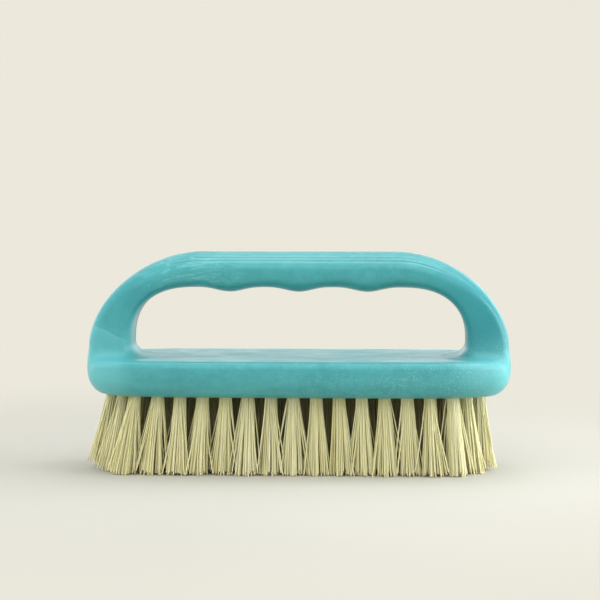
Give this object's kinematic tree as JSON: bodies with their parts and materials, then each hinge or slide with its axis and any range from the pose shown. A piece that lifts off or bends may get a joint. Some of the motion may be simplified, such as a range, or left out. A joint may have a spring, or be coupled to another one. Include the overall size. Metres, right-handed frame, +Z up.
{
  "type": "stiff scrub brush",
  "caption": "Hand scrub brush: a rounded plastic block with a closed D handle in one moulding, and staggered rows of stiff pale tufts below.",
  "frame": {"origin": "bottom centre of the bounding box: on the surface that the bristle tips stand on, under the middle of the block", "axes": "+X along the brush, +Y across it towards the back, +Z up from the bristle tips to the handle"},
  "size_m": [0.15, 0.05, 0.0778],
  "materials": {
    "teal_plastic": "teal foamed plastic, satin, with a fine silvery speckle from the moulding",
    "cream_bristle": "pale yellow-cream plastic filament, satin"
  },
  "bodies": {
    "root": {"brush_body": "teal_plastic", "tuft_front_01": "cream_bristle", "tuft_front_02": "cream_bristle", "tuft_front_03": "cream_bristle", "tuft_front_04": "cream_bristle", "tuft_front_05": "cream_bristle", "tuft_front_06": "cream_bristle", "tuft_front_07": "cream_bristle", "tuft_front_08": "cream_bristle", "tuft_front_09": "cream_bristle", "tuft_front_10": "cream_bristle", "tuft_front_11": "cream_bristle", "tuft_front_12": "cream_bristle", "tuft_front_13": "cream_bristle", "tuft_front_14": "cream_bristle", "tuft_front_15": "cream_bristle", "tuft_back_01": "cream_bristle", "tuft_back_02": "cream_bristle", "tuft_back_03": "cream_bristle", "tuft_back_04": "cream_bristle", "tuft_back_05": "cream_bristle", "tuft_back_06": "cream_bristle", "tuft_back_07": "cream_bristle", "tuft_back_08": "cream_bristle", "tuft_back_09": "cream_bristle", "tuft_back_10": "cream_bristle", "tuft_back_11": "cream_bristle", "tuft_back_12": "cream_bristle", "tuft_back_13": "cream_bristle", "tuft_back_14": "cream_bristle", "tuft_back_15": "cream_bristle", "tuft_left_front": "cream_bristle", "tuft_left_middle": "cream_bristle", "tuft_left_back": "cream_bristle", "tuft_right_front": "cream_bristle", "tuft_right_middle": "cream_bristle", "tuft_right_back": "cream_bristle", "tufts_inner_front": "cream_bristle", "tufts_inner_middle": "cream_bristle", "tufts_inner_back": "cream_bristle"}
  },
  "joints": []
}
